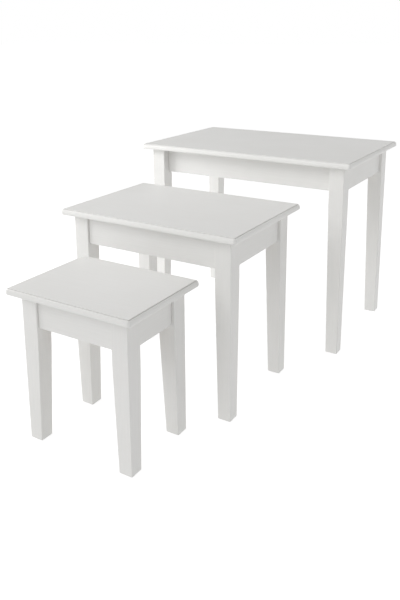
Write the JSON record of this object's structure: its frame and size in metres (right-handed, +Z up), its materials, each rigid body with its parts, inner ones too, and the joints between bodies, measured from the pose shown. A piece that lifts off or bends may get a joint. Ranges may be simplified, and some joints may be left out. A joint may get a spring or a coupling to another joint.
{
  "type": "nest of tables",
  "caption": "Rectangular side tables in graded sizes with moulded tops, aprons and tapered legs; each slides in under the next larger one.",
  "frame": {"origin": "on the floor, at the centre of the ground that the whole row covers in the rest pose", "axes": "+X to the right along the tables' width, +Y from the front to the back (the smaller tables slide in along it), +Z up"},
  "size_m": [0.6, 1.043, 0.5],
  "materials": {
    "white_lacquer": "satin white lacquer over wood, with the grain faintly telegraphing through",
    "raw_pine": "sawn and lightly sanded, unfinished",
    "beech_dowel": "planed, glued",
    "zinc_steel": "bright zinc plate",
    "yellow_zinc": "yellow passivated zinc on steel",
    "nylon": "moulded matt"
  },
  "bodies": {
    "large_table": {"large_top": "white_lacquer", "large_front_apron": "white_lacquer", "large_right_apron": "white_lacquer", "large_back_apron": "white_lacquer", "large_left_apron": "white_lacquer", "large_front_left_leg": "white_lacquer", "large_front_right_leg": "white_lacquer", "large_back_left_leg": "white_lacquer", "large_back_right_leg": "white_lacquer", "large_corner_blocks": "raw_pine", "large_dowels": "beech_dowel", "large_hanger_bolts": "zinc_steel", "large_bolt_washers": "zinc_steel", "large_bolt_nuts": "zinc_steel", "large_block_screws": "yellow_zinc", "large_top_screws": "yellow_zinc", "large_glides": "nylon"},
    "medium_table": {"medium_top": "white_lacquer", "medium_front_apron": "white_lacquer", "medium_right_apron": "white_lacquer", "medium_back_apron": "white_lacquer", "medium_left_apron": "white_lacquer", "medium_front_left_leg": "white_lacquer", "medium_front_right_leg": "white_lacquer", "medium_back_left_leg": "white_lacquer", "medium_back_right_leg": "white_lacquer", "medium_corner_blocks": "raw_pine", "medium_dowels": "beech_dowel", "medium_hanger_bolts": "zinc_steel", "medium_bolt_washers": "zinc_steel", "medium_bolt_nuts": "zinc_steel", "medium_block_screws": "yellow_zinc", "medium_top_screws": "yellow_zinc", "medium_glides": "nylon"},
    "small_table": {"small_top": "white_lacquer", "small_front_apron": "white_lacquer", "small_right_apron": "white_lacquer", "small_back_apron": "white_lacquer", "small_left_apron": "white_lacquer", "small_front_left_leg": "white_lacquer", "small_front_right_leg": "white_lacquer", "small_back_left_leg": "white_lacquer", "small_back_right_leg": "white_lacquer", "small_corner_blocks": "raw_pine", "small_dowels": "beech_dowel", "small_hanger_bolts": "zinc_steel", "small_bolt_washers": "zinc_steel", "small_bolt_nuts": "zinc_steel", "small_block_screws": "yellow_zinc", "small_top_screws": "yellow_zinc", "small_glides": "nylon"}
  },
  "joints": [
    {"name": "medium_slide", "type": "slide", "parent": "large_table", "child": "medium_table", "axis": [0, 1, 0], "range_m": [-0.1, 0.406]},
    {"name": "small_slide", "type": "slide", "parent": "medium_table", "child": "small_table", "axis": [0, 1, 0], "range_m": [-0.1, 0.252]}
  ]
}
